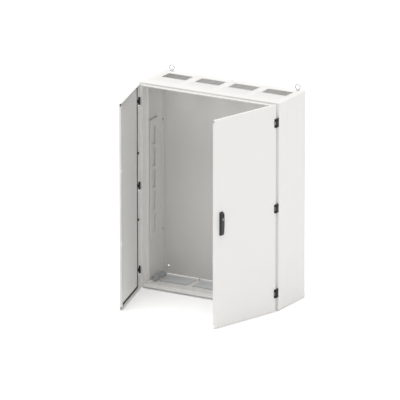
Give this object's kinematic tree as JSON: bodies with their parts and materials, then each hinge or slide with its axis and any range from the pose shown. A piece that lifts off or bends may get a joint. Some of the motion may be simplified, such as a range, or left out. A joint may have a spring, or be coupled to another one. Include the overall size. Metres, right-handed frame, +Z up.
{
  "type": "electrical distribution cabinet",
  "caption": "Sheet steel distribution cabinet with two open hinged doors, swing handle, lock bars, slide bolts, cable entries in the roof, gland plates in the floor and lifting eyes.",
  "frame": {"origin": "centre of the body's underside, on the floor that it stands on", "axes": "+X to the right of a person facing the doors, +Y to the back wall, +Z up"},
  "size_m": [1.058, 0.8968, 1.445],
  "materials": {
    "grey_white_paint": "satin powder coat",
    "black_zinc_casting": "fine textured black powder coat on zinc",
    "black_handle": "glass-filled black moulding, matt",
    "black_plastic": "matt",
    "black_seal": "foamed, matt",
    "zinc_plated_steel": "blue passivated zinc",
    "galvanised_sheet": "pale zinc coated sheet, matt",
    "earth_metal": "dull tin plate",
    "lock_core": "satin"
  },
  "bodies": {
    "cabinet": {"roof": "grey_white_paint", "floor": "grey_white_paint", "back_tray": "grey_white_paint", "left_side_wall": "grey_white_paint", "right_side_wall": "grey_white_paint", "left_side_knockouts": "grey_white_paint", "right_side_knockouts": "grey_white_paint", "left_frame_post": "grey_white_paint", "right_frame_post": "grey_white_paint", "frame_head": "grey_white_paint", "frame_sill": "grey_white_paint", "left_side_rail": "grey_white_paint", "right_side_rail": "grey_white_paint", "left_corner_rail": "grey_white_paint", "right_corner_rail": "grey_white_paint", "left_corner_bolts": "zinc_plated_steel", "right_corner_bolts": "zinc_plated_steel", "gland_plate_seals": "black_seal", "gland_plates": "galvanised_sheet", "gland_plate_screws": "zinc_plated_steel", "earth_bar_feet": "zinc_plated_steel", "earth_bar": "earth_metal", "earth_clamps": "earth_metal", "main_earth_clamp": "zinc_plated_steel", "earth_studs": "zinc_plated_steel", "left_eyebolt": "zinc_plated_steel", "right_eyebolt": "zinc_plated_steel", "left_eyebolt_nut": "zinc_plated_steel", "right_eyebolt_nut": "zinc_plated_steel", "left_hinge_frame_halves": "black_zinc_casting", "right_hinge_frame_halves": "black_zinc_casting", "left_hinge_pins": "zinc_plated_steel", "right_hinge_pins": "zinc_plated_steel"},
    "left_door": {"left_door_shell": "grey_white_paint", "left_door_seal": "black_seal", "left_seal_clips": "black_plastic", "left_hinge_door_halves": "black_zinc_casting", "rebate_strip": "galvanised_sheet", "passive_upper_bolt_lugs": "grey_white_paint", "passive_lower_bolt_lugs": "grey_white_paint", "left_door_stiffener": "grey_white_paint"},
    "right_door": {"right_door_shell": "grey_white_paint", "right_door_seal": "black_seal", "right_seal_clips": "black_plastic", "right_hinge_door_halves": "black_zinc_casting", "handle_base": "black_handle", "lock_case": "zinc_plated_steel", "lock_bar_guides": "black_plastic", "right_door_stiffener": "grey_white_paint"},
    "handle_hub": {"handle_hub": "black_handle", "handle_tilt_pin": "zinc_plated_steel", "lock_pinion": "zinc_plated_steel"},
    "handle_lever": {"handle_lever": "black_handle"},
    "lock_cylinder": {"lock_cylinder": "lock_core"},
    "upper_lock_bar": {"upper_lock_bar": "zinc_plated_steel"},
    "lower_lock_bar": {"lower_lock_bar": "zinc_plated_steel"},
    "passive_upper_bolt": {"passive_upper_bolt": "zinc_plated_steel"},
    "passive_lower_bolt": {"passive_lower_bolt": "zinc_plated_steel"}
  },
  "joints": [
    {"name": "left_door_swing", "type": "hinge", "parent": "cabinet", "child": "left_door", "pos_m": [-0.5235, -0.203, 0.7], "axis": [0, 0, -1], "range_deg": [-73.45, 96.55]},
    {"name": "right_door_swing", "type": "hinge", "parent": "cabinet", "child": "right_door", "pos_m": [0.5235, -0.203, 0.7], "axis": [0, 0, 1], "range_deg": [-73.45, 96.55]},
    {"name": "handle_turn", "type": "hinge", "parent": "right_door", "child": "handle_hub", "pos_m": [0.38449, -0.67078, 0.755], "axis": [0.9586, -0.2849, 0], "range_deg": [0, 90]},
    {"name": "lever_tilt", "type": "hinge", "parent": "handle_hub", "child": "handle_lever", "pos_m": [0.39216, -0.67306, 0.765], "axis": [-0.2849, -0.9586, 0], "range_deg": [0, 25]},
    {"name": "key_turn", "type": "hinge", "parent": "handle_lever", "child": "lock_cylinder", "pos_m": [0.39149, -0.67286, 0.732], "axis": [0.9586, -0.2849, 0], "range_deg": [0, 90]},
    {"name": "upper_lock_bar_slide", "type": "slide", "parent": "right_door", "child": "upper_lock_bar", "axis": [0, 0, 1], "range_m": [0, 0.0189]},
    {"name": "lower_lock_bar_slide", "type": "slide", "parent": "right_door", "child": "lower_lock_bar", "axis": [0, 0, -1], "range_m": [0, 0.0189]},
    {"name": "upper_bolt_slide", "type": "slide", "parent": "left_door", "child": "passive_upper_bolt", "axis": [0, 0, 1], "range_m": [0, 0.009]},
    {"name": "lower_bolt_slide", "type": "slide", "parent": "left_door", "child": "passive_lower_bolt", "axis": [0, 0, -1], "range_m": [0, 0.009]}
  ],
  "couplings": [
    {"joint": "upper_lock_bar_slide", "follows": "handle_turn", "m_per_rad": 0.012},
    {"joint": "lower_lock_bar_slide", "follows": "handle_turn", "m_per_rad": 0.012}
  ]
}
